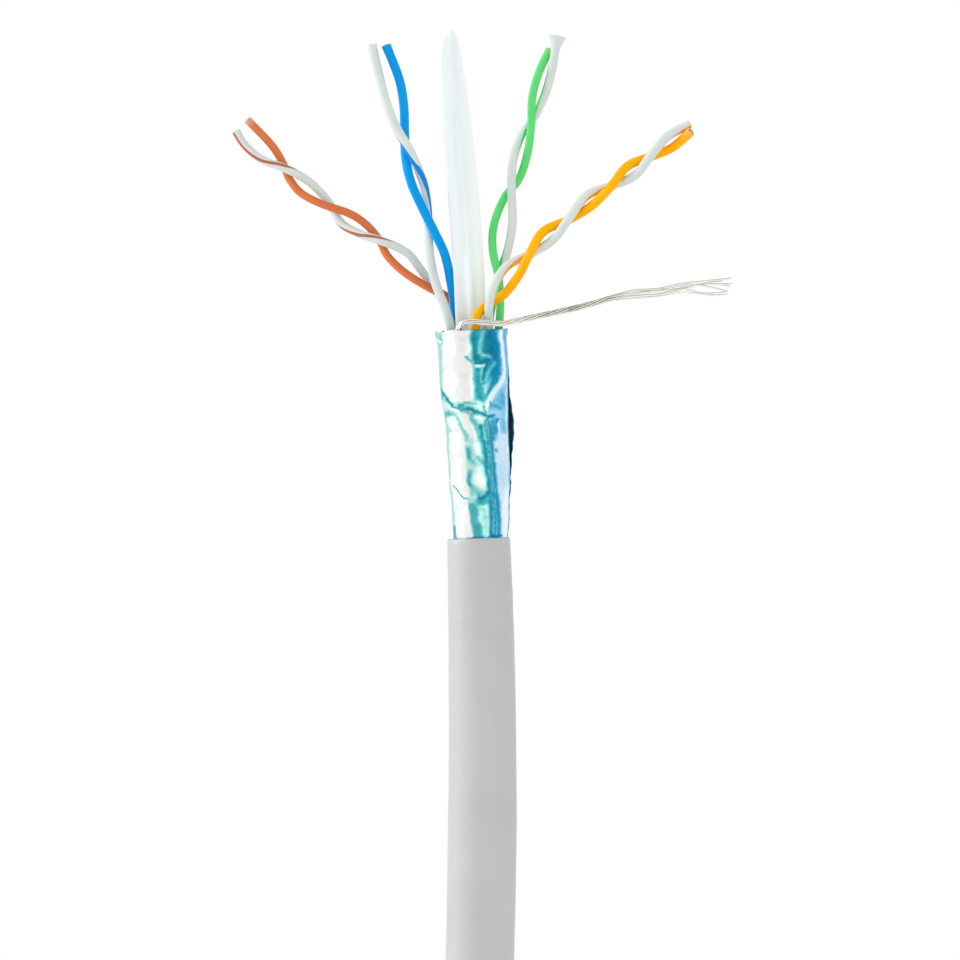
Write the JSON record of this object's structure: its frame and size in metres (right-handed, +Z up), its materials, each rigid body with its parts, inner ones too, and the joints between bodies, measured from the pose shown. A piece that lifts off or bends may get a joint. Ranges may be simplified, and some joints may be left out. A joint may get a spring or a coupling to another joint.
{
  "type": "stripped foil screened four pair data cable end",
  "caption": "Stripped end of a foil screened data cable: twisted pairs fanned from a cross separator, a bent out drain wire and a snug jacket to clamp in a gland",
  "frame": {"origin": "centre of the jacket's bottom cut, where the cable is gripped", "axes": "+Z up along the straight bottom stretch of the jacket, +X to the side that the drain wire is bent to, -Y towards the viewer"},
  "size_m": [0.0535, 0.0122, 0.1154],
  "materials": {
    "jacket_pvc": "satin grey PVC",
    "foil": "crumpled aluminium and polyester tape with a blue tint",
    "separator_plastic": "translucent white polyethylene",
    "blue_plastic": "smooth polyethylene",
    "orange_plastic": "smooth polyethylene",
    "green_plastic": "smooth polyethylene",
    "brown_plastic": "smooth polyethylene",
    "white_plastic": "smooth polyethylene with a coloured stripe",
    "copper": "bare drawn copper",
    "tinned_copper": "dull tinned copper"
  },
  "bodies": {
    "root": {"jacket": "jacket_pvc", "foil_screen": "foil", "separator": "separator_plastic", "blue_insulation": "blue_plastic", "white_blue_insulation": "white_plastic", "orange_insulation": "orange_plastic", "white_orange_insulation": "white_plastic", "green_insulation": "green_plastic", "white_green_insulation": "white_plastic", "brown_insulation": "brown_plastic", "white_brown_insulation": "white_plastic", "blue_conductor": "copper", "white_blue_conductor": "copper", "orange_conductor": "copper", "white_orange_conductor": "copper", "green_conductor": "copper", "white_green_conductor": "copper", "brown_conductor": "copper", "white_brown_conductor": "copper", "drain_strand_1": "tinned_copper", "drain_strand_2": "tinned_copper", "drain_strand_3": "tinned_copper", "drain_strand_4": "tinned_copper", "drain_strand_5": "tinned_copper", "drain_strand_6": "tinned_copper", "drain_strand_7": "tinned_copper"}
  },
  "joints": []
}
